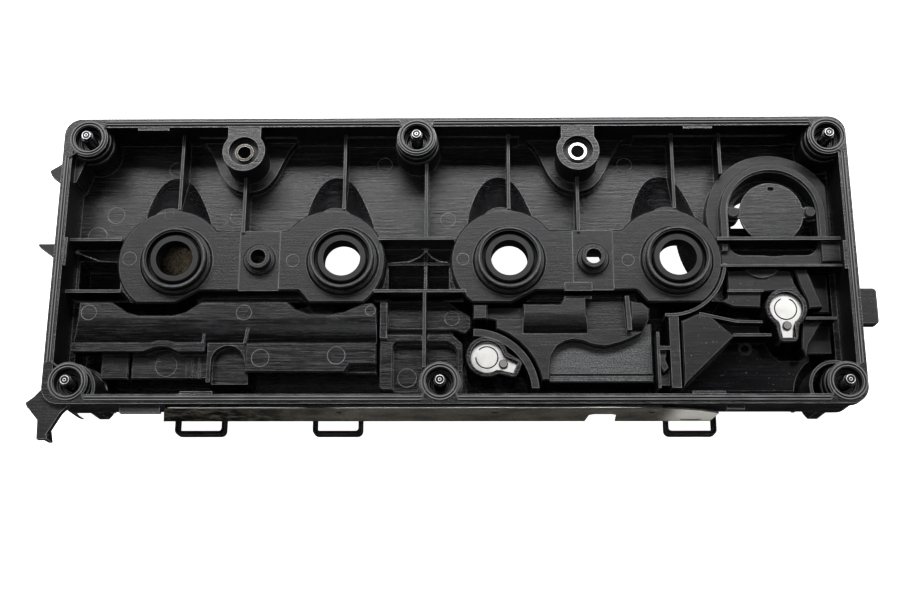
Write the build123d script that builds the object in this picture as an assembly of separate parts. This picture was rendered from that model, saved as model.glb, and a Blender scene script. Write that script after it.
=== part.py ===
from build123d import *
import os
from math import cos, sin, radians, hypot, atan2, degrees

# Diesel engine valve cover, open (cylinder-head) side up. Millimetres.
# Origin: centre of the four corner bolts on the sealing plane. +X along the engine.

os.makedirs("parts", exist_ok=True)

# ---------------------------------------------------------------- levels
SEAL_Z = 0.0              # sealing plane
FLANGE_T = 6.0
FLOOR_Z = -25.4           # inner floor over the camshaft
SKIN = 3.0                # wall and deck thickness
PIT_Z = -45.0             # floor of the separator bay
DECK_Z = FLOOR_Z - SKIN   # outer face of the main deck
REST_Z = PIT_Z - SKIN     # outermost plane, the cover lies on it
BRIDGE_Z = -11.0          # top of the injector bridges
BRIDGE_T = 4.0
CEILING = BRIDGE_Z - BRIDGE_T          # roof of the injector wells, seen from outside
RIB_Z = -10.5             # crest of the stiffening ribs
CROSS_Z = -9.0            # crest of the lengthwise ribs
CENTER_RIB_LOW = -20.5    # lower edge of the rib that runs to the lower middle bolt

# ---------------------------------------------------------------- outline
X_LEFT, X_RIGHT, Y_HALF = -210.0, 207.0, 78.0
BOLT_INSET_Y = 11.3       # bolt axis to the long edge of the flange
RIM_W = 5.0
WALL_INSET = 1.5
CORNER_R = 9.0
RIB_T = 1.6
EDGE = 0.6                # broken edges

# ---------------------------------------------------------------- fasteners
BOLT_DX, BOLT_DY = 393.8, 2 * (Y_HALF - BOLT_INSET_Y)
TOP_MID = (-21.0, BOLT_DY / 2)
LOW_MID = (-8.0, -BOLT_DY / 2)
CORNERS = [(sx * BOLT_DX / 2, sy * BOLT_DY / 2) for sy in (1, -1) for sx in (-1, 1)]
BOLTS = CORNERS + [TOP_MID, LOW_MID]
BOSS_R, BOSS_STEP_R, BOSS_STEP_Z = 10.4, 11.8, -9.0
BOSS_COLLAR_R, BOSS_COLLAR_Z = 11.0, -4.0
MOUTH_R, MOUTH_DEPTH = 7.1, 6.0       # wide mouth of each bolt hole
HOLE_R = 5.5
SLEEVE_R, SLEEVE_BORE = 4.9, 3.4
SLEEVE_TOP = -8.0
BOLT_R, TIP_R, TIP_Z, TIP_L = 3.0, 2.4, 5.0, 2.0
WAIST_R, WAIST_GAP = 2.6, 0.5           # thin shank that runs through the sleeve
BOSS_END = DECK_Z - 2.6               # outer end of a bolt boss
SEAT_Z = BOSS_END - 3.0               # where the bolt head sits
GROMMET_R, GROMMET_IN = 9.0, 5.0
POCKET_R = 10.6
TOWER_R, TOWER_Z = 13.4, -26.0        # wide foot round the low pockets
HEAD_FLANGE_R, HEAD_FLANGE_T, HEAD_AF, HEAD_H = 8.0, 1.6, 10.0, 6.0

# ---------------------------------------------------------------- gasket
SEAL_INSET = 2.7
SEAL_W, SEAL_DEPTH, SEAL_LIP = 2.4, 2.5, 0.9
SEAL_BOLT_R = 8.55        # the gasket's ring round each bolt
KEY_HALF = 10.5           # half width of the gasket's way round a bolt, at the flange edge

# ---------------------------------------------------------------- injectors
PITCH = 88.0
BORE_X = [-148.0 + PITCH * i for i in range(4)]
BORE_Y = 1.0
BORE_R = 9.7
TUBE_R = 13.2             # inner tube of a seal
COLLAR_R, COLLAR_IN, COLLAR_Z = 16.9, 15.6, -4.0
COLLAR_BASE_R = 19.3
SEAL_SEAT_Z = BRIDGE_Z - 1.5
SEAL_LOW = CEILING - 1.0             # lower end of a seal's tube
LOBE_R, LOBE_Y = 28.8, 1.0
LOBES = [(-150.5, -66.3), (26.0, 111.0)]
BAR_LOW, BAR_HIGH, LOBE_LOW = -15.2, 18.0, -21.8
FOAM_X, FOAM_T = (-176.0, -92.0), 5.0          # sound-damping pad across the first injector's well
CLAMP_X = [(BORE_X[0] + BORE_X[1]) / 2, (BORE_X[2] + BORE_X[3]) / 2]
CLAMP_Y, CLAMP_R, CLAMP_BORE, CLAMP_Z = 1.8, 6.4, 4.0, -5.5
CLAMP_BASE_R, CLAMP_SEAL_T = 8.7, 1.5

# ---------------------------------------------------------------- open sleeves
STUD_X, STUD_Y = [-113.3, 64.7], Y_HALF - 18.6
STUD_BOSS_R, STUD_MOUTH_R = 11.4, 8.0
STUD_R, STUD_BORE = 4.9, 3.5
STUD_TOP, STUD_LEN = -2.5, 14.0
APRON_Z = -19.5

# ---------------------------------------------------------------- oil filler
FILL_X, FILL_Y = 168.0, 27.6
FILL_LEDGE_R, FILL_RING_R, FILL_IN_R = 34.6, 28.0, 23.5
FILL_LEDGE_Z, FILL_RING_Z = -16.0, -11.5
NECK_R, NECK_BORE = 24.5, 21.0
DRUM_R, DRUM_T = 46.0, 2.5
SPLASH_R, SPLASH_T, SPLASH_Z = 16.9, 1.8, -16.0
POST_DX, POST_R, POST_HEAD_R, EAR_R = 20.5, 2.0, 3.0, 2.8
FILL_WALL_Y = 13.2
CUP_LOW, CUP_CORNER = 4.7, 7.0        # lower end of the cup, beyond the cross wall
TRAY_LOW = -2.6                       # low side of the oil tray beside the cup
NECK_CUT_Y = 23.6                     # the floor stays closed below this line
FLOOR_HOLE_R = 20.0                   # hole in the floor over the neck


def poly(*pts):
    return Polygon(*pts, align=None)


def rect(x0, x1, y0, y1):
    return Pos((x0 + x1) / 2, (y0 + y1) / 2) * Rectangle(x1 - x0, y1 - y0)


def disc(x, y, r):
    return Pos(x, y) * Circle(r)


def band(x, y, r_out, r_in):
    return disc(x, y, r_out) - disc(x, y, r_in)


def prism(sketch, z0, z1):
    return Pos(0, 0, z0) * extrude(sketch, z1 - z0, dir=(0, 0, 1))


def broken(solid, c=EDGE):
    """The solid with the edges of its top face chamfered."""
    return chamfer(solid.edges().group_by(Axis.Z)[-1], c)


def rod_y(x, z, r, y0, y1):
    """Round bar along Y."""
    return extrude(Plane((x, y0, z), z_dir=(0, 1, 0)) * Circle(r), y1 - y0)


def rounded(x0, x1, y0, y1, r):
    return Pos((x0 + x1) / 2, (y0 + y1) / 2) * RectangleRounded(x1 - x0, y1 - y0, r)


def inset_outline(d):
    """The flange outline moved inwards by d."""
    r = max(CORNER_R - d, 1.0)
    return rounded(X_LEFT + d, X_RIGHT - d, -Y_HALF + d, Y_HALF - d, r)


def keyhole(x, y, grow):
    """What the gasket line leaves out at a bolt: a round hole open to the flange edge."""
    r = SEAL_BOLT_R + grow
    far = KEY_HALF
    k = 1 if y > 0 else -1
    leg = grow * 0.414
    mouth = poly((x - 7.0 - leg, y + k * 4.0), (x + 7.0 + leg, y + k * 4.0),
                 (x + far + leg, y + k * 11.0), (x + far + leg, y + k * 20.0),
                 (x - far - leg, y + k * 20.0), (x - far - leg, y + k * 11.0))
    shape = disc(x, y, r) + mouth
    if abs(x) > 100:
        h = 1 if x > 0 else -1
        side = poly((x + h * 4.0, y - k * (7.0 + leg)), (x + h * 4.0, y + k * 7.0),
                    (x + h * 25.0, y + k * 20.0), (x + h * 25.0, y - k * (far + leg)),
                    (x + h * 9.0, y - k * (far + leg)))
        shape = shape + side + rect(*sorted((x, x + h * 25)), *sorted((y, y + k * 25)))
    return shape


def curved(*pts):
    """Face bounded by a smooth curve through the points and the chord that closes it."""
    return make_face([Spline(*pts), Line(pts[-1], pts[0])])


def soft(outline, r=1.2):
    """The outline with every corner rounded."""
    return fillet(outline.vertices(), r)


def seal_region(grow):
    """Area inside the gasket's line, grown outwards by grow."""
    shape = inset_outline(SEAL_INSET - grow)
    for x, y in BOLTS:
        shape = shape - keyhole(x, y, -grow)
    return shape


def seal_band(inner, outer):
    """Strip along the gasket's line, with a whole ring round each bolt."""
    strip = seal_region(outer) - seal_region(inner)
    for x, y in BOLTS:
        strip += band(x, y, SEAL_BOLT_R - inner, SEAL_BOLT_R - outer)
    return strip


def bridge(xa, xb):
    shape = disc(xa, LOBE_Y, LOBE_R) + disc(xb, LOBE_Y, LOBE_R) + rect(xa, xb, BAR_LOW, BAR_HIGH)
    low = LOBE_LOW - 12
    shape -= poly((xa + 3, LOBE_LOW), (xa + 15.6, BAR_LOW), (xa + 36, BAR_LOW), (xa + 36, low), (xa + 3, low))
    shape -= poly((xb - 16.4, BAR_LOW), (xb - 10.9, LOBE_LOW), (xb - 10.9, low), (xb - 36, low), (xb - 36, BAR_LOW))
    shape = shape & rect(xa - 40, xb + 40, LOBE_LOW, 40)
    return fillet(shape.vertices(), 2.0)


# ramped bulge over each injector, as (x from the bore, y) on the floor and at the bridge
BULGE_FOOT = [(-22.5, 10), (-21.4, 33.6), (-17.6, 45), (-12.7, 52.4), (-6.3, 55.3), (0.8, 53.5),
              (7.0, 46.1), (12.0, 35.3), (15.8, 23.3), (16, 10)]
BULGE_CREST = [(-17, 10), (-16.5, 22), (-13.5, 26.5), (-10, 29.5), (-5.5, 31.0), (-1.5, 30.5),
               (3.0, 28.0), (7.0, 24.0), (10.0, 19.0), (11, 10)]


def bulge(x):
    foot = Pos(0, 0, FLOOR_Z - 1) * curved(*[(x + u, v) for u, v in BULGE_FOOT])
    crest = Pos(0, 0, BRIDGE_Z - 0.3) * curved(*[(x + u, v) for u, v in BULGE_CREST])
    return loft([foot.face(), crest.face()], ruled=True)


# half of the apron that hangs round each open sleeve, from its tip on the long wall to its foot
APRON_HALF = [(27.5, 73.6), (23.5, 70.0), (18.5, 61.0), (14.0, 51.5), (8.0, 45.2), (0, 43.2)]


def apron(x, shrink=0.0):
    half = [(u - shrink * (u > 0), v + shrink * (u < 20)) for u, v in APRON_HALF]
    return curved(*[(x - u, v) for u, v in half], *[(x + u, v) for u, v in reversed(half[:-1])])


# ================================================================ cover shell
WALL_IN_X = (X_LEFT + RIM_W, X_RIGHT - RIM_W)
WALL_IN_Y = Y_HALF - RIM_W
PIT = (-202.0, 199.0, -Y_HALF + 10.5, -17.5)
RIGHT_PIT = (142.0, 199.0, -20.0, -2.7)
MID_PIT = (-36.5, -4.0, -20.0, 3.8)
LEFT_PIT = (-203.5, -181.0, -20.0, 5.5)


def shell_body():
    body = prism(inset_outline(WALL_INSET), DECK_Z, SEAL_Z - 1)
    body += prism(inset_outline(0), -FLANGE_T, SEAL_Z)
    body += prism(rect(PIT[0] - SKIN, PIT[1] + SKIN, PIT[2] - SKIN, PIT[3] + SKIN), REST_Z, DECK_Z)
    body += prism(rect(MID_PIT[0] - SKIN, MID_PIT[1] + SKIN, MID_PIT[2], MID_PIT[3] + SKIN), REST_Z, DECK_Z)
    body += prism(rect(LEFT_PIT[0] - SKIN, LEFT_PIT[1] + SKIN, LEFT_PIT[2], LEFT_PIT[3] + SKIN), REST_Z, DECK_Z)
    body += prism(rect(RIGHT_PIT[0] - SKIN, RIGHT_PIT[1] + SKIN, RIGHT_PIT[2], RIGHT_PIT[3] + SKIN), REST_Z, DECK_Z)
    body -= prism(rounded(*WALL_IN_X, -WALL_IN_Y, WALL_IN_Y, CORNER_R - RIM_W), FLOOR_Z, SEAL_Z + 1)
    body -= prism(rect(*PIT), PIT_Z, FLOOR_Z + 1)
    body -= prism(rect(*MID_PIT), PIT_Z, FLOOR_Z + 1)
    body -= prism(rect(*LEFT_PIT), PIT_Z, FLOOR_Z + 1)
    body -= prism(rect(*RIGHT_PIT), PIT_Z, FLOOR_Z + 1)
    return body


def bridges():
    """Injector bridges with their wells, collars and clamp-bolt tubes."""
    solid = None
    for (xa, xb), cx in zip(LOBES, CLAMP_X):
        deck = broken(prism(bridge(xa, xb), REST_Z, BRIDGE_Z), 0.8)
        deck -= prism(rect(cx - 10.5, cx + 10.5, BAR_LOW - 1, BAR_HIGH + 1), BRIDGE_Z - 0.8, BRIDGE_Z + 1)
        solid = deck if solid is None else solid + deck
    for x in BORE_X:
        solid += broken(prism(disc(x, BORE_Y, COLLAR_BASE_R), BRIDGE_Z - 1, BRIDGE_Z + 1.6), 1.2)
        solid += broken(prism(disc(x, BORE_Y, COLLAR_R), BRIDGE_Z - 1, COLLAR_Z), 0.5)
    for x in CLAMP_X:
        solid += broken(prism(disc(x, CLAMP_Y, CLAMP_BASE_R), BRIDGE_Z - 2, BRIDGE_Z + 1.0), 0.8)
        solid += broken(prism(disc(x, CLAMP_Y, CLAMP_R), BRIDGE_Z - 2, CLAMP_Z), 0.5)
    solid += prism(rect(56.6, 71.0, -16.4, -11.7), BRIDGE_Z - 4, BRIDGE_Z + 2.5)
    return solid


def wells():
    """Injector wells on the outer side, and every hole through the bridges."""
    drum = prism(band(FILL_X, FILL_Y, DRUM_R, DRUM_R - DRUM_T), REST_Z - 1, BRIDGE_Z - BRIDGE_T + 1)
    void = None
    for xa, xb in LOBES:
        well = prism(offset(bridge(xa, xb), -SKIN, kind=Kind.INTERSECTION), REST_Z - 1, CEILING)
        void = well if void is None else void + well
    void -= drum
    for x in BORE_X:
        void += prism(disc(x, BORE_Y, COLLAR_IN), SEAL_SEAT_Z, COLLAR_Z + 1)
        void += prism(disc(x, BORE_Y, TUBE_R), SEAL_LOW, SEAL_SEAT_Z + 1)
    for x in CLAMP_X:
        void += prism(disc(x, CLAMP_Y, CLAMP_BORE), REST_Z - 1, CLAMP_Z + 1)
    return void


def boss_outline(x, y, r):
    return disc(x, y, r) & inset_outline(WALL_INSET)


def bosses():
    solid = None
    for x, y in BOLTS:
        low = BOSS_END if y > 0 else REST_Z
        boss = broken(prism(disc(x, y, BOSS_STEP_R), low, BOSS_STEP_Z), 0.5)
        boss = boss & prism(inset_outline(WALL_INSET), low, SEAL_Z)
        boss += broken(prism(boss_outline(x, y, BOSS_COLLAR_R), BOSS_STEP_Z - 1, BOSS_COLLAR_Z), 0.3)
        boss += prism(disc(x, y, BOSS_R) & inset_outline(0), BOSS_COLLAR_Z - 1, SEAL_Z)
        if y < 0:
            boss += prism(boss_outline(x, y, TOWER_R), REST_Z, TOWER_Z)
        solid = boss if solid is None else solid + boss
    for x in STUD_X:
        solid += prism(disc(x, STUD_Y, STUD_BOSS_R), DECK_Z, SEAL_Z - 0.3)
        solid += prism(rect(x - 8.8, x + 8.8, STUD_Y, WALL_IN_Y + 1), FLOOR_Z - 1, SEAL_Z - 0.3)
    return solid


def boss_holes():
    void = None
    for x, y in BOLTS:
        hole = prism(disc(x, y, MOUTH_R), -MOUTH_DEPTH, SEAL_Z + 1)
        hole += prism(disc(x, y, HOLE_R), BOSS_END - 1, 0)
        hole += prism(disc(x, y, GROMMET_R), BOSS_END - 1, BOSS_END + GROMMET_IN)
        hole += prism(disc(x, y, POCKET_R), REST_Z - 1, BOSS_END)
        void = hole if void is None else void + hole
    for x in STUD_X:
        void += prism(disc(x, STUD_Y, STUD_MOUTH_R), -4.5, SEAL_Z + 1)
        void += prism(disc(x, STUD_Y, STUD_R), DECK_Z - 1, SEAL_Z)
        void += prism(disc(x, STUD_Y, 9.0), DECK_Z - 1, STUD_TOP - STUD_LEN)
        void += prism(apron(x, SKIN) & rect(-300, 300, 0, WALL_IN_Y - 1), DECK_Z - 1, APRON_Z - SKIN)
    return void


def ribs():
    solid = None
    half = RIB_T / 2
    runs = [(x, 30.0) for x in BORE_X] + [(TOP_MID[0] + 5, 13.0)]
    for x, y0 in runs:
        rib = prism(rect(x - half, x + half, y0, WALL_IN_Y + 0.5), FLOOR_Z - 1, RIB_Z)
        solid = rib if solid is None else solid + rib
    for x in STUD_X:
        solid += prism(rect(x - half, x + half, BAR_HIGH - 1, STUD_Y - 5), FLOOR_Z - 1, RIB_Z)
    x = FILL_X - 26.5
    solid += prism(rect(x - half, x + half, FILL_Y + 22, WALL_IN_Y + 0.5), FLOOR_Z - 1, RIB_Z)
    # lengthwise ribs at the ends and between the bridges
    for x0, x1, y in ((-206, -177.5, 12.7), (-206, -176, -15.9), (-41, -1, 12.9), (-43, 5, -16.1)):
        solid += prism(rect(x0, x1, y - half, y + half), FLOOR_Z - 1, CROSS_Z)
    solid += prism(rect(-43, 8, PIT[3], PIT[3] + 2.2), PIT_Z - 1, FLOOR_Z)
    solid += prism(rect(-206, -176, PIT[3], PIT[3] + 2.4), PIT_Z - 1, FLOOR_Z)
    # lengthwise ledges of the bays between the ribs, and the centre rib down to the lower bolt
    solid += prism(rect(-37, -3.5, 2.6, 4.2), PIT_Z - 1, FLOOR_Z + 1.5)
    solid += prism(rect(-17.3, -15.7, -16, 13), PIT_Z - 1, FLOOR_Z + 2)
    solid += prism(rect(-17.3, -15.7, -57, -16), CENTER_RIB_LOW, CROSS_Z)
    for x in STUD_X:
        solid += prism(apron(x) & rect(-300, 300, 0, WALL_IN_Y + 0.5), DECK_Z, APRON_Z)
    for x in BORE_X:
        solid += bulge(x)
    # ejector pad
    solid += prism(disc(-195.0, 19.6, 5.2), FLOOR_Z - 1, FLOOR_Z + 1.6)
    return solid


def cup(r, low, corner):
    """Disc round the filler whose sides run straight down to y = low, with two rounded corners."""
    legs = rect(FILL_X - r, FILL_X + r, low, FILL_Y)
    return fillet(legs.vertices().group_by(Axis.Y)[0], corner) + disc(FILL_X, FILL_Y, r)


def filler():
    area = rect(FILL_X - 40, FILL_X + 30.5, FILL_WALL_Y, WALL_IN_Y + 0.5)
    solid = broken(prism(disc(FILL_X, FILL_Y, FILL_LEDGE_R) & area, FLOOR_Z - 1, FILL_LEDGE_Z), 0.5)
    ring = cup(FILL_RING_R, FILL_WALL_Y - 1, 1.0) & rect(FILL_X - 40, FILL_X + 40, FILL_WALL_Y - 1, WALL_IN_Y)
    solid += broken(prism(ring, FLOOR_Z - 1, FILL_RING_Z), 0.5)
    # oil tray between the cup and the separator bay, then the wall that crosses both
    solid += prism(rect(FILL_X - 28.5, FILL_X + 32.5, TRAY_LOW, FILL_WALL_Y), FLOOR_Z - 1, -15.0)
    solid -= broken(prism(cup(FILL_IN_R, CUP_LOW, CUP_CORNER), FLOOR_Z, SEAL_Z), 0.1)
    solid -= prism(offset(cup(FILL_IN_R, CUP_LOW, CUP_CORNER), 0.9) & area, FILL_RING_Z - 1.4, SEAL_Z)
    solid += prism(rect(FILL_X - 30.5, WALL_IN_X[1] + 0.5, FILL_WALL_Y - 1.8, FILL_WALL_Y), FLOOR_Z - 1, CROSS_Z)
    for x in (FILL_X - 26.0, FILL_X + 26.6):
        solid += broken(prism(rect(x - 1.6, x + 1.6, 6.4, 10.4), -16, -12.6), 0.4)
    solid += broken(prism(rect(FILL_X + 24.4, WALL_IN_X[1] + 0.5, 0.5, FILL_WALL_Y), FLOOR_Z - 1, -12.0), 0.5)
    solid += prism(disc(FILL_X, FILL_Y, NECK_R), REST_Z, DECK_Z)
    for k in (-1, 1):
        lug = disc(FILL_X + k * POST_DX, FILL_Y + 0.8, 4.2) + \
            rect(*sorted((FILL_X + k * POST_DX, FILL_X + k * 25)), FILL_Y - 3, FILL_Y + 4.6)
        solid += prism(lug, FLOOR_Z - 1, SPLASH_Z)
        solid += prism(disc(FILL_X + k * POST_DX, FILL_Y + 0.8, POST_R), SPLASH_Z - 1, SPLASH_Z + SPLASH_T)
        solid += broken(prism(disc(FILL_X + k * POST_DX, FILL_Y + 0.8, POST_HEAD_R),
                              SPLASH_Z + SPLASH_T, SPLASH_Z + SPLASH_T + 1.6), 0.6)
    solid += prism(rect(FILL_X - 29.2, WALL_IN_X[1] + 0.5, TRAY_LOW - 0.3, TRAY_LOW + 0.9), FLOOR_Z - 1, -10.0)
    return solid


DRAIN_BAY, DRAIN_BAY_R = (9.0, -70.0), 30.0
# walls that leave each lower corner boss in an arc: centre from the bolt, outer radius
SICKLES = [(CORNERS[2], (1.4, -2.6), 12.5), (CORNERS[3], (-5.9, -2.1), 13.3)]
SICKLE_Z = -1.5
MOULD_CLEAR_R = 20.4                  # room left by the right moulding round its corner boss


def sickle(bolt, offset_xy, r):
    return bolt[0] + offset_xy[0], bolt[1] + offset_xy[1], r


def cross_walls():
    """Thin wall that goes on round the fourth injector from the cross wall."""
    arc = band(LOBES[1][1], LOBE_Y, 30.8, 29.2) & rect(100, 145, -40, -1.0)
    arc = arc & poly((111, 1), (160, 1), (160, -60), (106, -60))
    wall = prism(arc, PIT_Z - 1, -10.5)
    post = rect(103.6, 105.0, -67.6, -38.0) + rect(110.4, 115.4, -67.6, -29.0) + rect(103.6, 115, -47.5, -45.5)
    wall += prism(post, PIT_Z - 1, -11.0)
    # folded stay beside the post
    stay = [(104.8, -47.0), (109.4, -47.0), (108.2, -52.5), (109.8, -56.5), (107.0, -59.0), (104.8, -55.0)]
    wall += broken(prism(poly(*stay), PIT_Z - 1, -13.5), 0.5)
    wall += prism(poly((104.8, -58.5), (107.0, -60.0), (110.4, -57.0), (110.4, -65.0), (104.8, -65.0)), PIT_Z - 1, -17.0)
    # round wall of the left drain bay
    bay = band(*DRAIN_BAY, DRAIN_BAY_R + 3.8, DRAIN_BAY_R) & rect(9.0, 50.0, -67.6, -30.0)
    wall += prism(bay, PIT_Z - 1, -11.0)
    # sickle walls round the lower corner bosses
    for place in SICKLES:
        x, y, r = sickle(*place)
        end = place[0][0]
        arc = band(x, y, r, r - RIB_T) & rect(min(end, x - 20), max(end, x + 20), -WALL_IN_Y - 0.5, -40)
        if end < 0:
            arc = arc & rect(end, end + 30, -WALL_IN_Y - 0.5, -40)
        else:
            arc = arc & rect(end - 30, end, -WALL_IN_Y - 0.5, -40)
        wall += prism(arc, PIT_Z - 1, SICKLE_Z)
    return wall


RIM_TAB_T, RIM_TAB_LOW = 1.5, -2.6
RIM_TABS = [(-170.8, -154.0, 1), (121.0, 136.4, 1), (-139.5, -123.0, -1), (119.0, 135.5, -1)]


def rim_tabs():
    """Shallow tabs along the inner edge of the flange, a corner web and the step of the long wall."""
    solid = None
    for x0, x1, k in RIM_TABS:
        rows = sorted((k * (WALL_IN_Y - RIM_TAB_T), k * (WALL_IN_Y + 0.5)))
        tab = prism(rect(x0, x1, *rows), RIM_TAB_LOW, SEAL_Z - 0.4)
        solid = tab if solid is None else solid + tab
    solid += prism(rect(WALL_IN_X[0] - 0.5, WALL_IN_X[0] + RIM_TAB_T, -4.4, 11.0), RIM_TAB_LOW, SEAL_Z - 0.4)
    solid += prism(rect(WALL_IN_X[1] - RIM_TAB_T, WALL_IN_X[1] + 0.5, -7.1, 8.1), RIM_TAB_LOW, SEAL_Z - 0.4)
    solid += prism(poly((-205.5, 43.8), (-203.6, 44.3), (-199.7, 55.5), (-199.7, 61.0), (-205.5, 61.0)),
                   FLOOR_Z - 1, -6.5)
    # step near the top of the long wall, between the corner and the sleeves
    for x0, x1 in ((-140.0, -87.0), (-60.0, 34.0), (96.0, 178.0)):
        solid += prism(rect(x0, x1, WALL_IN_Y - 1.0, WALL_IN_Y + 0.5), FLOOR_Z - 1, -13.0)
    return solid


def outer_side():
    """Features of the outer side: bay walls, ribs, hooks and tabs on the edge."""
    solid = None
    for x in (-181.0, -132.0, -88.0, -48.0, 12.0, 46.0, 88.0, 128.0):
        rib = prism(rect(x - 1.1, x + 1.1, 24.0, Y_HALF - 3.0), DECK_Z - 10.0, DECK_Z + 1)
        solid = rib if solid is None else solid + rib
    for y in (36.5, 70.0):
        solid += prism(rect(-190.0, 128.0, y - 1.1, y + 1.1), DECK_Z - 7.0, DECK_Z + 1)
    # edge tabs, from the flange edge
    left = Pos(X_LEFT, 0)
    solid += prism(left * poly((1, 54.6), (-7.1, 49.4), (-5.8, 46.5), (1, 41.5)), -8.0, -3.0)
    solid += prism(left * poly((1, 8.2), (-9.2, 8.2), (-9.2, 7.0), (1, -0.5)), -8.0, -3.0)
    solid += broken(prism(rounded(X_RIGHT - 5.0, X_RIGHT + 9.2, -36.2, -17.0, 2.0), -9.0, -3.0), 0.5)
    # bracket at the lower left corner, from the corner of the flange
    corner = Pos(X_LEFT, -Y_HALF)
    solid += prism(corner * poly((1, 10), (-4.5, 4), (-8.4, 1.1), (-5.4, -3.1), (-1.4, -7.7), (-1, -17.4),
                                 (4.5, -17.4), (3.8, -14.8), (5.5, -11.8), (9.9, -4), (14.8, 1), (10, 8)),
                   -7.0, -3.0)
    solid += prism(corner * poly((-1.4, 0), (0.6, 0), (4.0, -17.4), (2.0, -17.4)), -14.0, -3.0)
    solid += prism(corner * poly((-8.0, 0.5), (-7.0, -1.5), (9.5, 4.0), (8.5, 6.0)), -14.0, -3.0)
    return solid


RAIL_GAP, RAIL_T = 1.0, 0.8          # heat shield: air to the flange edge, and its thickness
RAIL_Y = -Y_HALF - RAIL_GAP
RAIL_X = (-147.0, 134.5)
RAIL_TOP, RAIL_LOW = -3.4, -37.0
PAD_X = [-135.0, -60.0, 20.0, 100.0]
PAD_Z, STAKE_R = -14.0, 2.0
LOOPS = [(-150.0, -123.0), (-76.5, -50.0), (110.0, 137.5)]
LOOP_LOW = RAIL_Y - 7.6


def rail_seats():
    """Pads that carry the heat shield, cable loops under it and two lips beside it."""
    solid = None
    for x in PAD_X:
        pad = rod_y(x, PAD_Z, 5.0, RAIL_Y, RAIL_Y + 4.0) + rod_y(x, PAD_Z, STAKE_R, RAIL_Y - RAIL_T, RAIL_Y + 1)
        solid = pad if solid is None else solid + pad
    for x0, x1 in LOOPS:
        outer = rounded(x0, x1, LOOP_LOW, PIT[2] + 7.5, 3.0) - rect(x0, x1, PIT[2] - SKIN / 2, PIT[2] + 17.5)
        loop = outer - rounded(x0 + 2.2, x1 - 2.2, LOOP_LOW + 2.4, PIT[2] - SKIN - 1.5, 1.5)
        solid += broken(prism(loop, -46.0, -40.0), 0.5)
    solid += prism(rect(-170.0, -149.5, -Y_HALF - 4.0, -Y_HALF + 1.0), -6.0, -2.5)
    solid += prism(rect(136.0, 145.0, -Y_HALF - 2.5, -Y_HALF + 1.0), -6.0, -2.5)
    return solid


REG_X, REG_Y, REG_R, REG_DEPTH = -78.0, -38.0, 16.5, 14.0
REG_SEAT, REG_CAP_T, REG_SKIN = REST_Z + 12.0, 2.5, 1.0
PORT_X, PORT_Y, PORT_BORE, PORT_R_OUT, PORT_TOP = 88.0, -49.5, 5.0, 6.5, -41.0   # breather port


def regulator_house():
    return prism(disc(REG_X, REG_Y, REG_R + SKIN), REST_Z, REST_Z + REG_DEPTH + SKIN)


shell = shell_body()
shell += outer_side()
shell += rail_seats()
shell += ribs()
shell += bridges()
shell += bosses()
shell += filler()
shell += cross_walls()
shell += regulator_house()
shell += rim_tabs()
shell += prism(disc(PORT_X, PORT_Y, PORT_R_OUT), REST_Z, PORT_TOP)
shell -= wells()
shell -= boss_holes()
shell -= prism(disc(PORT_X, PORT_Y, PORT_BORE), REST_Z - 1, PORT_TOP + 1)
shell -= prism(disc(FILL_X, FILL_Y, NECK_BORE), REST_Z - 1, DECK_Z)
floor_hole = disc(FILL_X, FILL_Y, FLOOR_HOLE_R) & rect(FILL_X - 30, FILL_X + 30, NECK_CUT_Y, 60)
shell -= prism(floor_hole, DECK_Z - 1, FLOOR_Z + 1)
shell -= prism(disc(REG_X, REG_Y, REG_R), REST_Z - 1, REG_SEAT)
shell -= prism(disc(REG_X, REG_Y, REG_R - 2), REST_Z - 1, REST_Z + REG_DEPTH)
shell -= prism(disc(REG_X, REG_Y, 5.0), REST_Z, REST_Z + REG_DEPTH + SKIN + 1)
shell -= prism(seal_band(-SEAL_W / 2, SEAL_W / 2), -SEAL_DEPTH, SEAL_Z + 1)
export_step(shell, "parts/cover_shell.step")
print("shell", len(shell.solids()), round(shell.volume), shell.is_valid)

# ================================================================ separator mouldings
CAP_T = 2.0               # wall of the welded separator mouldings
FIT = 0.4                 # gap round a moulding that stands in the shell


def cap(outline, top, t=CAP_T, low=None, edge=0.7):
    """A box open to the bay floor, with its lid at top; low is the height its void stops at."""
    roof = (top if low is None else low) - t
    return broken(prism(outline, PIT_Z, top), edge) - \
        prism(offset(outline, -t, kind=Kind.INTERSECTION), PIT_Z - 1, roof)


def above_slope(x0, x1, ya, za, yb, zb):
    """Everything above an arc that leaves the lid level at ya and comes down to zb at yb."""
    profile = make_face([TangentArc((ya, za), (yb, zb), tangent=(-1, 0)), Line((yb, zb), (yb, 5)),
                         Line((yb, 5), (ya, 5)), Line((ya, 5), (ya, za))])
    return extrude(Plane((x0, 0, 0), x_dir=(0, 1, 0), z_dir=(1, 0, 0)) * profile, x1 - x0)


def leaf(cx, cy, angle, grow=0.0):
    """Outline of a reed: a disc and a tapering tail along angle."""
    tail = Pos(cx, cy) * Rot(0, 0, angle) * poly((2, -7.4), (6.6, -4.6), (9.2, -3.4), (TAIL_L, -2.4),
                                                (TAIL_L, 2.4), (9.2, 3.4), (6.6, 4.6), (2, 7.4))
    shape = disc(cx, cy, REED_R) + tail
    return offset(shape, grow, kind=Kind.ARC) if grow else shape


REED_R, REED_T, REED_Z = 8.2, 0.5, -12.5
TAIL_L, RIVET_D = 15.7, 9.2
RIVET_R, RIVET_HEAD_R, RIVET_HOLE_R, RIVET_GAP = 1.5, 2.3, 1.9, 0.3
SLOT_R, SLOT_W = 5.7, 0.6
PORT_R = 4.6
TOWER_TOP, TOWER_WALL = -9.5, 2.6
REEDS = {"left": (15.9, -51.3, -23.0), "right": (171.3, -25.5, -90.0)}


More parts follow.
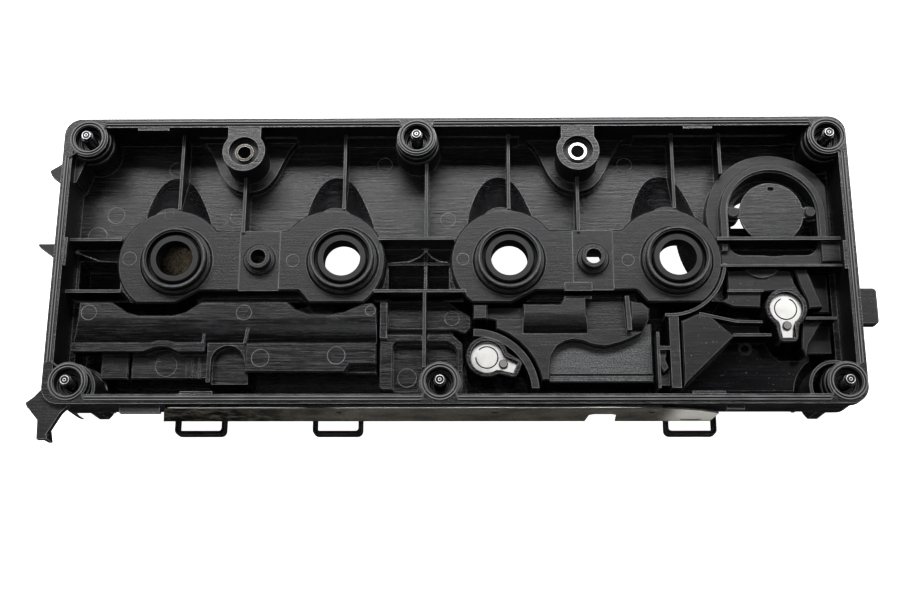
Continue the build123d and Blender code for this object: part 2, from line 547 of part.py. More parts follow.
def along(cx, cy, angle, d):
    return cx + d * cos(radians(angle)), cy + d * sin(radians(angle))


def tower(cx, cy, angle):
    """Seat of a reed: a recess for the leaf on a hollow foot that drains the bay."""
    solid = broken(prism(leaf(cx, cy, angle, TOWER_WALL), PIT_Z, TOWER_TOP), 0.5)
    if cx < 100:
        solid = solid & prism(disc(*DRAIN_BAY, DRAIN_BAY_R - FIT), PIT_Z, 0)
    solid -= prism(leaf(cx, cy, angle, FIT), REED_Z, 0)
    solid -= prism(disc(cx, cy, PORT_R), PIT_Z - 1, 0)
    solid -= prism(rect(cx - 15, cx, cy - 2, cy + 2), PIT_Z - 1, PIT_Z + 5)
    rx, ry = along(cx, cy, angle, RIVET_D)
    solid -= prism(disc(rx, ry, RIVET_R), REED_Z - 4, 0)
    heel = Pos(cx, cy) * Rot(0, 0, angle) * rect(RIVET_D, TAIL_L + FIT, -3.8, 3.8)
    return solid - prism(heel, REED_Z - 1.0, 0)


def reed(cx, cy, angle):
    shape = leaf(cx, cy, angle)
    shape -= disc(*along(cx, cy, angle, RIVET_D), RIVET_HOLE_R)
    slot = band(cx, cy, SLOT_R + SLOT_W / 2, SLOT_R - SLOT_W / 2)
    slot -= Pos(cx, cy) * Rot(0, 0, angle + 180) * poly((0, 0), (9, -3.6), (9, 3.6))
    return prism(shape - slot, REED_Z, REED_Z + REED_T)


def rivet(cx, cy, angle):
    x, y = along(cx, cy, angle, RIVET_D)
    under = REED_Z + REED_T + RIVET_GAP
    return prism(disc(x, y, RIVET_R), REED_Z - 4, under) + \
        broken(prism(disc(x, y, RIVET_HEAD_R), under, under + 1.0), 0.4)


# ---- left moulding: sloping lid, a stepped ridge and three low boxes
LID = poly((-198.2, -20.9), (-181, -20.9), (-176.4, -23.8), (-172.5, -26.5), (-166.6, -28.2), (-148.7, -28.2),
           (-142, -26.6), (-134.6, -21.4), (-133, -20.9), (-88.4, -20.9), (-83.8, -25.1), (-77.4, -27.5),
           (-65.9, -27.8), (-58.1, -26.2), (-49.3, -22.4), (-44, -21.5), (-41.4, -24.6), (-41.4, -43.2),
           (-201, -43.2), (-198.6, -36.2))
RIDGE_ARCH = [(-164.5, -47.4), (-162.4, -46.9), (-159.0, -45.5), (-154.5, -44.7), (-150.0, -45.2),
              (-147.0, -46.5), (-144.5, -47.4)]
RIDGE_HUMP = [(-160.0, -42.4), (-157.0, -41.6), (-152.8, -41.3), (-149.0, -41.7), (-146.0, -42.4)]
LOW_BOX_A = rect(-187.0, -172.2, -60.2, -46.0)
LOW_BOX_B = rect(-170.8, -129.6, -60.2, -42.5)
ARCH_BOX = rect(-129.8, -109.0, -63.4, -42.5)
ARCH_CUT = (disc(-119.0, -52.6, 8.8) + rect(-127.8, -108.0, -64.0, -52.6))
RIGHT_BOX = poly((-109.8, -42.6), (-41.4, -42.6), (-41.4, -54.2), (-55.5, -54.2), (-58, -58.4), (-109.8, -58.4))
CORNER_BOX = rect(-58.0, -41.4, -58.4, -54.0)


def left_moulding():
    solid = cap(soft(LID), -12.0, low=-17.0) - above_slope(-210, -30, -29.5, -12.0, -43.2, -17.0)
    ridge = soft(rect(-201.4, -131.0, -47.3, -42.2)) + curved(*RIDGE_HUMP) - curved(*RIDGE_ARCH)
    solid += broken(prism(ridge, -24.0, -14.5), 0.5)
    for x0, x1 in ((-199.4, -166.0), (-143.0, -133.0)):
        solid -= prism(rect(x0, x1, -45.3, -44.0), -25.0, -16.5)
    solid += cap(LOW_BOX_A, -22.0)
    solid += cap(LOW_BOX_B, -22.0)
    solid += cap(ARCH_BOX, -21.0) + (prism(ARCH_BOX, -22.0, -15.5) - prism(ARCH_CUT, -21.0, -15))
    solid += cap(RIGHT_BOX, -14.0)
    solid += cap(CORNER_BOX, -19.0)
    # partition that shows as a short step on the lid
    solid += prism(poly((-131.8, -34), (-130.6, -34), (-131.6, -43), (-132.8, -43)), -20, -13.6)
    solid += prism(poly((-108.4, -30), (-107.0, -30), (-109.4, -43.0), (-110.8, -43.0)), -20, -12.6)
    for x0, x1 in ((-141.9, -138.4), (-135.5, -134.3)):
        solid += broken(prism(rect(x0, x1, -60.2, -49.0), -24, -21.0), 0.4)
    solid -= prism(disc(REG_X, REG_Y, REG_R + SKIN + FIT), PIT_Z - 1, REST_Z + REG_DEPTH + SKIN + FIT)
    x, y, r = sickle(*SICKLES[0])
    solid -= prism(disc(x, y, r + FIT), PIT_Z - 1, 0)
    solid -= prism(disc(*CORNERS[2], BOSS_STEP_R + FIT), PIT_Z - 1, 0)
    solid -= prism(disc(*CORNERS[2], TOWER_R + FIT), PIT_Z - 1, TOWER_Z + FIT)
    return solid


# ---- centre moulding: plate, wall and a framed recess round the lower middle bolt
PLATE = poly((-36.6, -17.9), (-8.7, -17.9), (-4.4, -18.4), (1.9, -22.9), (7.9, -27.1), (7.9, -33), (4.6, -36.5),
             (-0.7, -34.4), (-36.6, -34.3))
FRAME = poly((-39.9, -67.2), (-39.9, -38.4), (-36.0, -37.5), (-2.2, -37.4), (3.2, -42.6), (3.6, -51), (3.6, -67.2))
FRAME_IN = poly((-33.0, -68), (-33.0, -43.4), (-31.2, -41.3), (-4.8, -41.3), (-0.8, -43.9), (0.5, -46.6), (0.5, -68))


def center_moulding():
    solid = cap(soft(PLATE), -21.0)
    solid += prism(rect(-39.9, -36.2, -40, -20.8), PIT_Z, -15.0)
    solid += broken(prism(soft(FRAME, 2.5) - soft(FRAME_IN, 2.0), PIT_Z, -17.0), 0.5)
    solid += prism(soft(FRAME, 2.5), -25.0, -23.0)
    solid += prism(rect(-36.6, -2, -38.5, -33.5), PIT_Z, -26.0)
    solid -= prism(rect(-18.1, -14.9, -59, -17), CENTER_RIB_LOW - FIT, 0)
    solid -= prism(disc(*LOW_MID, BOSS_STEP_R + FIT), -27, 0)
    solid -= prism(disc(*LOW_MID, TOWER_R + FIT), PIT_Z - 1, TOWER_Z + FIT)
    return solid


# ---- middle moulding: three boxes with two channels, a low front plate
BLOCK_A = rect(8.8, 16.3, -30.4, -22.4)
CHANNEL_B = poly((15.0, -22.4), (36.0, -22.4), (36.0, -35.6), (28.2, -33.3), (20.9, -29.6), (15.0, -28.6))
BLOCK_C = poly((34.9, -22.4), (54.5, -22.4), (56.4, -18.9), (67.6, -18.9), (68.6, -37.6), (34.9, -37.6))
CHANNEL_E = poly((66.0, -18.9), (92.0, -18.6), (92.0, -34.4), (66.0, -36.0))
RAIL_F = poly((88.2, -17.9), (90.4, -17.9), (91.4, -36.4), (89.2, -36.4))
BLOCK_G = poly((91.0, -20.6), (97.3, -21.6), (100.9, -25), (100.5, -30), (97, -36.6), (91.0, -36.6))
APRON_H = poly((20.9, -29), (36, -29), (36, -36.8), (67, -36.8), (67, -34.2), (90.5, -34), (90.5, -36.2),
               (97.3, -36.4), (95.6, -38), (90.5, -40.5), (84.2, -42.9), (77.4, -44.4), (70.7, -43.4),
               (66.1, -41.4), (60.9, -40.7), (56.7, -41.7), (52.5, -44.4), (49.6, -49.6), (48.9, -56),
               (48.6, -62.3), (44.4, -62.3), (43.2, -57.3), (40.6, -51.4), (37.0, -46.1), (32.6, -41.5),
               (27.4, -37.6), (20.9, -34.6))
FRONT_PLATE = poly((47.5, -58.4), (47.5, -50), (52, -43.5), (57.5, -40), (66.4, -40.6), (75.3, -43), (81.6, -42),
                   (88.5, -39), (95, -35.5), (99.6, -30.5), (102.9, -30.5), (102.9, -58.4))
FRONT_STRIP = rect(47.5, 102.9, -62.2, -59.0)


def middle_moulding():
    solid = cap(BLOCK_A, -13.0)
    solid += cap(CHANNEL_B, -19.0)
    solid += cap(BLOCK_C, -12.0, low=-17.0) - above_slope(34, 69, -27.0, -12.0, -37.6, -17.0)
    solid += prism(rect(56.6, 71.0, -19.4, -17.9), PIT_Z, -13.0)
    solid += cap(CHANNEL_E, -19.0)
    solid += prism(RAIL_F, PIT_Z, -13.0)
    solid += cap(BLOCK_G, -13.0, low=-18.0) - above_slope(90, 104, -28.0, -13.0, -36.6, -18.0)
    solid += cap(APRON_H, -16.5, 1.6)
    solid += cap(FRONT_PLATE, -22.0)
    solid += prism(rect(47.5, 102.9, -59.6, -58.0), PIT_Z, -23.0)
    solid += cap(FRONT_STRIP, -22.3, 1.2)
    return solid


# ---- right moulding: two plates, a facet, a sunk floor and small walls round the right reed
PLATE_N = poly((142.8, -3.2), (176.2, -3.2), (178.0, -10.0), (181.0, -16.4), (176, -13.9), (160, -15.2),
               (142.8, -15.2))
FACET_Q = poly((178.0, -3.2), (184.6, -3.2), (191.6, -24), (184.2, -24.6), (183.4, -20), (180.4, -12.0))
SIDE_N = poly((182.0, -3.2), (197.6, -3.2), (197.6, -24.4), (189.0, -24.4))
PAD_N = disc(161.0, 3.6, 11.1) & rect(140, 180, -20, -3.2)
BLOCK_M = poly((142.4, -14.6), (160.8, -14.6), (159.6, -23.2), (145.5, -22.8), (138.5, -19.8), (142.4, -17.9))
FACET_K = poly((117, -31.9), (125.3, -27.9), (132.5, -29.4), (144.2, -40.1), (117, -66.3))
BOWL_L = poly((131, -28), (137.5, -29.6), (146, -31.4), (159, -31.8), (159, -39.2), (143, -39.2))
CREST_L = poly((126.5, -26.9), (137.5, -29.4), (145.2, -31.2), (159.0, -31.7), (159.0, -33.0), (145.0, -32.6),
               (137.2, -30.9), (126.5, -28.4))
CREST_M = rect(143.6, 163.2, -39.9, -38.4)
SUNK = poly((143.0, -39.5), (163, -39.5), (166.5, -45.5), (170, -49), (181, -49), (186, -46), (186, -66.3),
            (117, -66.3), (117, -60))
FACET_R = poly((180.0, -31.6), (190.5, -31.6), (182.8, -44), (181.0, -50), (178.8, -46))
SIDE_R = poly((186.0, -31.6), (197.0, -31.6), (197.0, -47.0), (181, -47.0))
RIB_R = rect(179.5, 197.0, -31.6, -30.2)


def right_moulding():
    solid = cap(PLATE_N, -16.0) + prism(PAD_N, -18.0, -14.8)
    solid += cap(FACET_Q, -14.4, 1.4)
    solid += prism(rect(172, 186, -6.0, -3.2), PIT_Z, -20.0)
    solid += cap(SIDE_N, -24.0)
    solid += cap(BLOCK_M, -17.4)
    solid += prism(rect(142.4, 161.2, -15.2, -14.0), -20.0, -15.4)
    solid += cap(FACET_K, -12.0)
    solid += cap(BOWL_L, -20.0)
    solid += prism(CREST_L, PIT_Z, -12.5)
    solid += prism(CREST_M, PIT_Z, -13.0)
    solid += cap(SUNK, -28.0)
    solid += prism(band(152.4, -43.0, 3.4, 2.5), -29, -26.8)
    solid += cap(FACET_R, -14.5)
    solid += cap(SIDE_R, -24.0)
    solid += prism(RIB_R, PIT_Z, -10.5)
    solid += prism(rect(146, 158, -32.5, -22.4) + rect(191.0, 196.8, -31.8, -24.0), PIT_Z, PIT_Z + 6)
    solid -= prism(leaf(*REEDS["right"], TOWER_WALL + FIT), PIT_Z - 1, 0)
    solid -= prism(disc(*CORNERS[3], MOULD_CLEAR_R), PIT_Z - 1, 0)
    return solid


PIECES = {
    "baffle_left": left_moulding(),
    "baffle_center": center_moulding(),
    "baffle_middle": middle_moulding(),
    "baffle_right": right_moulding(),
}
for side, place in REEDS.items():
    PIECES["drain_tower_" + side] = tower(*place)
    PIECES["reed_" + side] = reed(*place)
PIECES["valve_rivets"] = rivet(*REEDS["left"]) + rivet(*REEDS["right"])

# ================================================================ gasket
lip = SEAL_W / 2 - 0.2
gasket = prism(seal_band(-SEAL_W / 2, SEAL_W / 2), -SEAL_DEPTH, SEAL_Z + 0.2)
gasket += prism(seal_band(0.4, lip), SEAL_Z + 0.1, SEAL_LIP)
gasket += prism(seal_band(-lip, -0.4), SEAL_Z + 0.1, SEAL_LIP)
PIECES["profile_gasket"] = gasket


# ================================================================ seals, sleeves and bolts
def injector_seal(x):
    seal = prism(band(x, BORE_Y, COLLAR_IN, COLLAR_IN - 0.9), SEAL_SEAT_Z, COLLAR_Z - 1.0)
    seal += prism(band(x, BORE_Y, COLLAR_IN, BORE_R), SEAL_SEAT_Z, SEAL_SEAT_Z + 1.8)
    tube = broken(prism(disc(x, BORE_Y, TUBE_R), SEAL_LOW, COLLAR_Z - 1.6), 0.7)
    return seal + (tube - prism(disc(x, BORE_Y, BORE_R), REST_Z, 0))


def bolt(x, y):
    shank = prism(disc(x, y, WAIST_R), SEAT_Z, 0)
    shank += prism(disc(x, y, BOLT_R), SLEEVE_TOP + WAIST_GAP, TIP_Z - TIP_L)
    shank += broken(prism(disc(x, y, TIP_R), 0, TIP_Z), 0.5)
    head = broken(prism(disc(x, y, HEAD_FLANGE_R), SEAT_Z - HEAD_FLANGE_T, SEAT_Z), 0.4)
    head += prism(Pos(x, y) * RegularPolygon(HEAD_AF / 2, 6, major_radius=False),
                  SEAT_Z - HEAD_FLANGE_T - HEAD_H, SEAT_Z - HEAD_FLANGE_T)
    return shank + head


def group(solids):
    return Compound(children=list(solids))


PIECES["well_foam"] = prism(offset(bridge(*LOBES[0]), -SKIN, kind=Kind.INTERSECTION) & rect(*FOAM_X, -40, 40),
                            REST_Z, REST_Z + FOAM_T)
PIECES["injector_seals"] = group(injector_seal(x) for x in BORE_X)
PIECES["clamp_bolt_seals"] = group(
    prism(band(x, CLAMP_Y, CLAMP_BASE_R - 1, CLAMP_BORE + 0.8), CEILING - CLAMP_SEAL_T, CEILING) for x in CLAMP_X)
PIECES["stud_sleeves"] = group(
    prism(band(x, STUD_Y, STUD_R, STUD_BORE), STUD_TOP - STUD_LEN, STUD_TOP) for x in STUD_X)
PIECES["bolt_sleeves"] = group(prism(band(x, y, SLEEVE_R, SLEEVE_BORE), SEAT_Z, SLEEVE_TOP) for x, y in BOLTS)
PIECES["bolt_grommets"] = group(
    prism(band(x, y, GROMMET_R, SLEEVE_R), SEAT_Z, BOSS_END + GROMMET_IN) for x, y in BOLTS)
PIECES["captive_bolts"] = group(bolt(x, y) for x, y in BOLTS)

# ================================================================ splash plate
post_y = FILL_Y + 0.8
splash = disc(FILL_X, post_y, SPLASH_R) + rect(FILL_X - POST_DX, FILL_X + POST_DX, post_y - EAR_R, post_y + EAR_R)
for k in (-1, 1):
    splash += disc(FILL_X + k * POST_DX, post_y, EAR_R)
    splash -= disc(FILL_X + k * POST_DX, post_y, POST_R + 0.2)
splash -= rect(FILL_X - 1.2, FILL_X + 2.2, post_y + 12.6, post_y + 14.8)
splash -= rect(FILL_X - 30, FILL_X + 30, 0, FILL_WALL_Y + FIT)
PIECES["filler_splash_plate"] = prism(splash, SPLASH_Z, SPLASH_Z + SPLASH_T)

# ================================================================ heat shield
rail_face = Plane((0, RAIL_Y, 0), x_dir=(1, 0, 0), z_dir=(0, -1, 0))
face = poly((RAIL_X[0], RAIL_TOP), (104, RAIL_TOP), (124, -9.5), (RAIL_X[1], -16.5), (RAIL_X[1] - 1, RAIL_LOW),
            (83.5, RAIL_LOW), (82.5, -20.5), (80, -18.5), (71, -18.5), (68.5, -20.5), (67.5, RAIL_LOW),
            (RAIL_X[0] - 8.5, RAIL_LOW), (RAIL_X[0] - 4, -18.0))
for x in PAD_X:
    face -= disc(x, PAD_Z, STAKE_R + 0.2)
face -= Pos(122.5, -33.0) * SlotOverall(11.0, 3.0)
rail = extrude(rail_face * face, RAIL_T, dir=(0, -1, 0))
rail += prism(rect(RAIL_X[0], 104, RAIL_Y - RAIL_T, -Y_HALF - 0.2), RAIL_TOP, RAIL_TOP + 0.8)
PIECES["heat_shield_rail"] = rail

# ================================================================ pressure regulator, outer side
rim_top = REG_SEAT - REG_SKIN
cap_plate = prism(disc(REG_X, REG_Y, REG_R), REST_Z, REST_Z + REG_CAP_T)
cap_plate += prism(band(REG_X, REG_Y, REG_R, REG_R - 2), REST_Z, rim_top)
cap_plate -= prism(disc(REG_X, REG_Y, 1.2), REST_Z - 1, REST_Z + 5)
PIECES["regulator_cap"] = cap_plate
PIECES["regulator_diaphragm"] = prism(disc(REG_X, REG_Y, REG_R), rim_top, REG_SEAT)
coil_h = rim_top - (REST_Z + REG_CAP_T)
coil = Helix(pitch=(coil_h - 1.4) / 4, height=coil_h - 1.4, radius=8.0,
             center=(REG_X, REG_Y, REST_Z + REG_CAP_T + 0.7))
wire = Plane(coil @ 0, z_dir=coil % 0) * RegularPolygon(0.7, 6)
PIECES["regulator_spring"] = sweep(wire, path=coil, is_frenet=True)

for name, piece in PIECES.items():
    export_step(piece, f"parts/{name}.step")
    print(name, len(piece.solids()), piece.is_valid, round(piece.volume))
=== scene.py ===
import math
import bpy
import numpy as np
from mathutils import Matrix, Vector


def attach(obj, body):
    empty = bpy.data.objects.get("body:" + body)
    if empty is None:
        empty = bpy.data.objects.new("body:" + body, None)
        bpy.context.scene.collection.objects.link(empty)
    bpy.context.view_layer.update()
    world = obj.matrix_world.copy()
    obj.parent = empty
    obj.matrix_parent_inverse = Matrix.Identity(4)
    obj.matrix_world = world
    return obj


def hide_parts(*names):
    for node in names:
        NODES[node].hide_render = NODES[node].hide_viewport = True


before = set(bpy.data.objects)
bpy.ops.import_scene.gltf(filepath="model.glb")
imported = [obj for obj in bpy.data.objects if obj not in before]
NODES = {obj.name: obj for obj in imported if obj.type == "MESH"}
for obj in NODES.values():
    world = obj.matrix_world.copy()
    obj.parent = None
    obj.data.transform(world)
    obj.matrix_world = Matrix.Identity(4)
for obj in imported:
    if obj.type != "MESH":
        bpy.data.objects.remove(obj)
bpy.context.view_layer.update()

MM = 0.001

# Levels and places of the cover, in millimetres, as in the CAD model
REST_Z, FLOOR_Z, BRIDGE_Z = -48.0, -25.4, -11.0
BOLTS = [(-196.9, 66.7), (196.9, 66.7), (-196.9, -66.7), (196.9, -66.7), (-21.0, 66.7), (-8.0, -66.7)]
# Bolt shank radius, thread pitch, and the heights where the thread starts and ends
SHANK_R, PITCH, THREAD_LOW, THREAD_TOP = 3.0, 1.0, -7.0, 2.8
TIP_R, TIP_Z = 2.4, 5.0
# Outer face, ends and upper edge of the heat shield
SHIELD_FACE_Y, SHIELD_X, SHIELD_TOP = -79.4, (-147.0, 104.0), -2.6
# Foam pad: ends, thickness and lowest y; the round lobe's centre and radius; the bar's two edges
FOAM_X, FOAM_T, FOAM_LOW = (-176.0, -92.0), 5.0, -18.8
FOAM_LOBE_X, FOAM_LOBE_R, LOBE_Y, FOAM_BAR = -150.5, 25.8, 1.0, (-12.2, 15.0)
# Heights of the faces of the baffles
LID_Z, BOX_Z, LOW_Z, PLATE_Z, FRAME_Z = -12.0, -14.0, -22.0, -21.0, -23.0

# Ejector pin marks: x, y, height of the face, radius
EJECTORS = [
    (-186.1, 32.2, FLOOR_Z, 4.6), (-154.5, 58.9, FLOOR_Z, 4.0), (-119.3, 31.1, FLOOR_Z, 4.2),
    (-4.6, 29.0, FLOOR_Z, 4.0), (-39.5, 61.4, FLOOR_Z, 4.0), (92.1, 60.8, FLOOR_Z, 4.0),
    (-173.1, 2.6, BRIDGE_Z, 3.7), (-86.4, 1.3, BRIDGE_Z, 3.4), (3.6, 1.9, BRIDGE_Z, 3.2),
    (90.4, 1.1, BRIDGE_Z, 3.2),
    (-192.6, -26.7, LID_Z, 4.0), (-111.1, -26.9, LID_Z, 4.0), (-44.9, -26.0, LID_Z, 2.6),
    (-101.8, -50.9, BOX_Z, 4.6), (-62.3, -49.6, BOX_Z, 4.6), (-152.5, -53.2, LOW_Z, 5.6),
    (-2.3, -27.9, PLATE_Z, 3.8), (-25.8, -59.6, FRAME_Z, 4.9),
]
SQUARE_MARK, SQUARE_HALF = (-153.4, 27.4), 2.3
# Gates where the plastic was injected, and the thin strands of flash beside them
GATES = [(-16.5, 10.5, -23.0), (-203.4, 9.0, -19.0)]
STRANDS = [
    [(-35.0, 4.0, -23.6), (-25.0, 4.6, -23.6), (-19.5, 7.2, -23.2), (-16.9, 10.0, -23.0)],
    [(-16.1, 10.0, -23.0), (-13.0, 6.6, -23.2), (-9.0, 4.6, -23.6), (-4.6, 4.2, -23.6)],
    [(-204.4, 9.0, -20.0), (-197.5, 7.2, -23.5), (-192.5, 5.6, -25.0), (-181.5, 5.4, -25.3)],
]


# ---------------------------------------------------------------- camera, floor, light
CAMERA_AT = (0.00777, -0.21131, 0.63511)
CAMERA_LENS, CAMERA_SENSOR = 51.58, 36.0
CAMERA_TURN = 0.2870, -0.0163, 0.0027

# Name, place and size in metres, power in watts
LIGHTS = [
    ("overhead_softbox", (0.0, 0.95, 1.30), (1.8, 0.5), 38),
    ("left_softbox", (-0.9, 0.25, 0.9), (0.4, 0.9), 2.6),
    ("right_softbox", (0.9, 0.25, 0.9), (0.4, 0.9), 2.4),
    ("fill", (-0.05, -0.35, 1.1), (0.3, 0.2), 1.6),
]
WORLD_STRENGTH, FLOOR_GLOW, FLOOR_HALF = 0.03, 1.03, 4
VIEW_GAMMA = 0.8


def make_camera():
    """Camera that looks down on the open side, leaning towards +Y."""
    pitch, yaw, roll = CAMERA_TURN
    look = Vector((math.sin(yaw), math.sin(pitch), -math.cos(pitch))).normalized()
    side = look.cross(Vector((0, 1, 0))).normalized()
    up = side.cross(look)
    c, s = math.cos(roll), math.sin(roll)
    side, up = side * c + up * s, up * c - side * s
    data = bpy.data.cameras.new("camera")
    data.lens, data.sensor_width = CAMERA_LENS, CAMERA_SENSOR
    cam = bpy.data.objects.new("camera", data)
    cam.matrix_world = Matrix((side, up, -look)).transposed().to_4x4()
    cam.location = CAMERA_AT
    bpy.context.scene.collection.objects.link(cam)
    bpy.context.scene.camera = cam


def area_light(name, place, size, power):
    """Rectangular soft light at place, aimed at the origin; size in metres, power in watts."""
    data = bpy.data.lights.new(name, "AREA")
    data.shape = "RECTANGLE"
    data.size, data.size_y = size
    data.energy = power
    lamp = bpy.data.objects.new(name, data)
    lamp.location = place
    lamp.rotation_euler = (-Vector(place)).to_track_quat("-Z", "Y").to_euler()
    bpy.context.scene.collection.objects.link(lamp)


class Mat:
    """A Principled material with short calls for the nodes that feed it."""

    def __init__(self, name, color, rough, metal=0.0, **sockets):
        self.mat = bpy.data.materials.new(name)
        self.mat.use_nodes = True
        self.tree = self.mat.node_tree
        self.bsdf = next(n for n in self.tree.nodes if n.type == "BSDF_PRINCIPLED")
        self.bsdf.inputs["Base Color"].default_value = (*color, 1)
        self.bsdf.inputs["Roughness"].default_value = rough
        self.bsdf.inputs["Metallic"].default_value = metal
        for key, value in sockets.items():
            self.bsdf.inputs[key.replace("_", " ")].default_value = value
        self.co = self.node("ShaderNodeTexCoord").outputs["Object"]
        self.normal = None

    def node(self, kind, **sets):
        n = self.tree.nodes.new(kind)
        for key, value in sets.items():
            if key.startswith("in_"):
                n.inputs[key[3:].replace("_", " ")].default_value = value
            else:
                setattr(n, key, value)
        return n

    def link(self, a, b):
        self.tree.links.new(a, b)

    def stretched(self, sx, sy, sz):
        """Object coordinates scaled apart on each axis, so that noise comes out as lines."""
        m = self.node("ShaderNodeMapping")
        m.inputs["Scale"].default_value = (sx, sy, sz)
        self.link(self.co, m.inputs["Vector"])
        return m.outputs[0]

    def noise(self, scale, detail=3.0, rough=0.6, co=None):
        n = self.node("ShaderNodeTexNoise", in_Scale=scale, in_Detail=detail, in_Roughness=rough)
        self.link(co or self.co, n.inputs["Vector"])
        return n.outputs["Fac"]

    def cells(self, scale):
        n = self.node("ShaderNodeTexVoronoi", feature="F1", in_Scale=scale)
        self.link(self.co, n.inputs["Vector"])
        return n.outputs["Distance"]

    def ramp(self, fac, *stops):
        n = self.node("ShaderNodeValToRGB")
        el = n.color_ramp.elements
        while len(el) > 1:
            el.remove(el[-1])
        for k, (at, c) in enumerate(stops):
            e = el[0] if k == 0 else el.new(at)
            e.position = at
            e.color = (*c, 1) if isinstance(c, tuple) else (c, c, c, 1)
        self.link(fac, n.inputs["Fac"])
        return n.outputs["Color"]

    def math(self, op, a, b=0.0):
        n = self.node("ShaderNodeMath", operation=op)
        for socket, v in zip(n.inputs, (a, b)):
            if isinstance(v, (int, float)):
                socket.default_value = v
            else:
                self.link(v, socket)
        return n.outputs[0]

    def blend(self, fac, a, b, mode="MIX"):
        n = self.node("ShaderNodeMix", data_type="RGBA", blend_type=mode)
        for socket, v in ((n.inputs[0], fac), (n.inputs[6], a), (n.inputs[7], b)):
            if isinstance(v, (int, float)):
                socket.default_value = v
            elif isinstance(v, tuple):
                socket.default_value = (*v, 1)
            else:
                self.link(v, socket)
        return n.outputs[2]

    def place(self, axis):
        """The object coordinate on one axis, in millimetres."""
        n = self.node("ShaderNodeSeparateXYZ")
        self.link(self.co, n.inputs[0])
        return self.math("MULTIPLY", n.outputs[axis], 1000.0)

    def step(self, value, low, high):
        """0 below low, 1 above high, smooth between."""
        n = self.node("ShaderNodeMapRange", interpolation_type="SMOOTHSTEP", clamp=True)
        n.inputs["From Min"].default_value = low
        n.inputs["From Max"].default_value = high
        self.link(value, n.inputs["Value"])
        return n.outputs["Result"]

    def facing(self, axis):
        """How far the surface looks along one axis, -1 to 1."""
        n = self.node("ShaderNodeSeparateXYZ")
        self.link(self.node("ShaderNodeTexCoord").outputs["Normal"], n.inputs[0])
        return n.outputs[axis]

    def edges(self, radius):
        """0 on flat surfaces and up to 1 on corners, from the bevelled against the true normal."""
        bevel = self.node("ShaderNodeBevel", samples=4, in_Radius=radius)
        geo = self.node("ShaderNodeNewGeometry")
        dot = self.node("ShaderNodeVectorMath", operation="DOT_PRODUCT")
        self.link(bevel.outputs[0], dot.inputs[0])
        self.link(geo.outputs["Normal"], dot.inputs[1])
        sharp = self.math("MULTIPLY", self.math("SUBTRACT", 1.0, dot.outputs["Value"]), 5.0)
        return self.math("MINIMUM", sharp, 1.0)

    def bump(self, height, strength, distance):
        n = self.node("ShaderNodeBump", in_Strength=strength, in_Distance=distance)
        self.link(height, n.inputs["Height"])
        if self.normal is not None:
            self.link(self.normal, n.inputs["Normal"])
        self.normal = n.outputs[0]

    def done(self, color=None, rough=None, metal=None):
        for key, v in (("Base Color", color), ("Roughness", rough), ("Metallic", metal), ("Normal", self.normal)):
            if v is not None:
                self.link(v, self.bsdf.inputs[key])
        return self.mat


# ---------------------------------------------------------------- materials
def nylon(name, dark, light, rough, lines=0.35, edge=0.8, speck=0.0, painted_sheen=None, slick=None, vary=0.6, grain=0.3):
    """Moulded black nylon: flow lines along X, cloudy gloss, painted highlights on the corners.

    painted_sheen gives a height in mm and a colour: flat faces at or below it are painted that much paler, a
    painted sheen.
    slick gives two heights, a roughness and a third height: faces below the first or above the last have it.
    """
    m = Mat(name, dark, rough, Specular_IOR_Level=0.5)
    cloud = m.noise(42, 4, 0.65)
    flow = m.noise(1.0, 5, 0.75, m.stretched(50, 1150, 800))
    fine = m.noise(1500, 2, 0.5)
    tint = m.blend(m.ramp(cloud, (0.32, 0.0), (0.72, 1.0)), dark, light)
    if painted_sheen:
        # painted sheen: flat upward faces below the given height are blended towards the given colour
        low = m.math("SUBTRACT", 1.0, m.step(m.place(2), painted_sheen[0], painted_sheen[0] + 1.0))
        tint = m.blend(m.math("MULTIPLY", low, m.step(m.facing(2), 0.6, 0.95)), tint, painted_sheen[1])
    tint = m.blend(m.ramp(flow, (0.48, 0.0), (0.66, 1.0)), tint, tuple(6.0 * c for c in light))
    tint = m.blend(m.ramp(fine, (0.40, 0.75), (0.62, 0.0)), tint, tuple(0.35 * c for c in dark))
    # painted highlight: corners and edges blended towards light grey, as a glint would look
    edge_highlight = m.math("MULTIPLY", m.edges(0.0008), m.ramp(m.noise(120, 3, 0.6), (0.3, 0.3), (0.65, edge)))
    tint = m.blend(edge_highlight, tint, (0.45, 0.45, 0.46))
    if speck:
        dots = m.ramp(m.cells(560), (0.06, 1.0), (0.13, 0.0))
        few = m.ramp(m.noise(260, 1, 0.5), (0.50, 0.0), (0.60, speck))
        tint = m.blend(m.math("MULTIPLY", dots, few), tint, (0.45, 0.45, 0.44))
    m.bump(flow, lines, 0.0004)
    m.bump(fine, grain, 0.0004)
    streak = m.math("MULTIPLY", m.math("SUBTRACT", flow, 0.5), vary)
    r = m.math("ADD", m.ramp(cloud, (0.3, -0.06), (0.75, 0.06)), streak)
    if slick:
        up = m.math("MULTIPLY", m.step(m.place(2), slick[0], slick[1]), rough - slick[2])
        up = m.math("MULTIPLY", up, m.math("SUBTRACT", 1.0, m.step(m.place(2), slick[3] - 1.0, slick[3])))
        base = m.math("ADD", slick[2], up)
    else:
        base = rough
    return m.done(tint, m.math("MAXIMUM", m.math("ADD", r, base), 0.08))


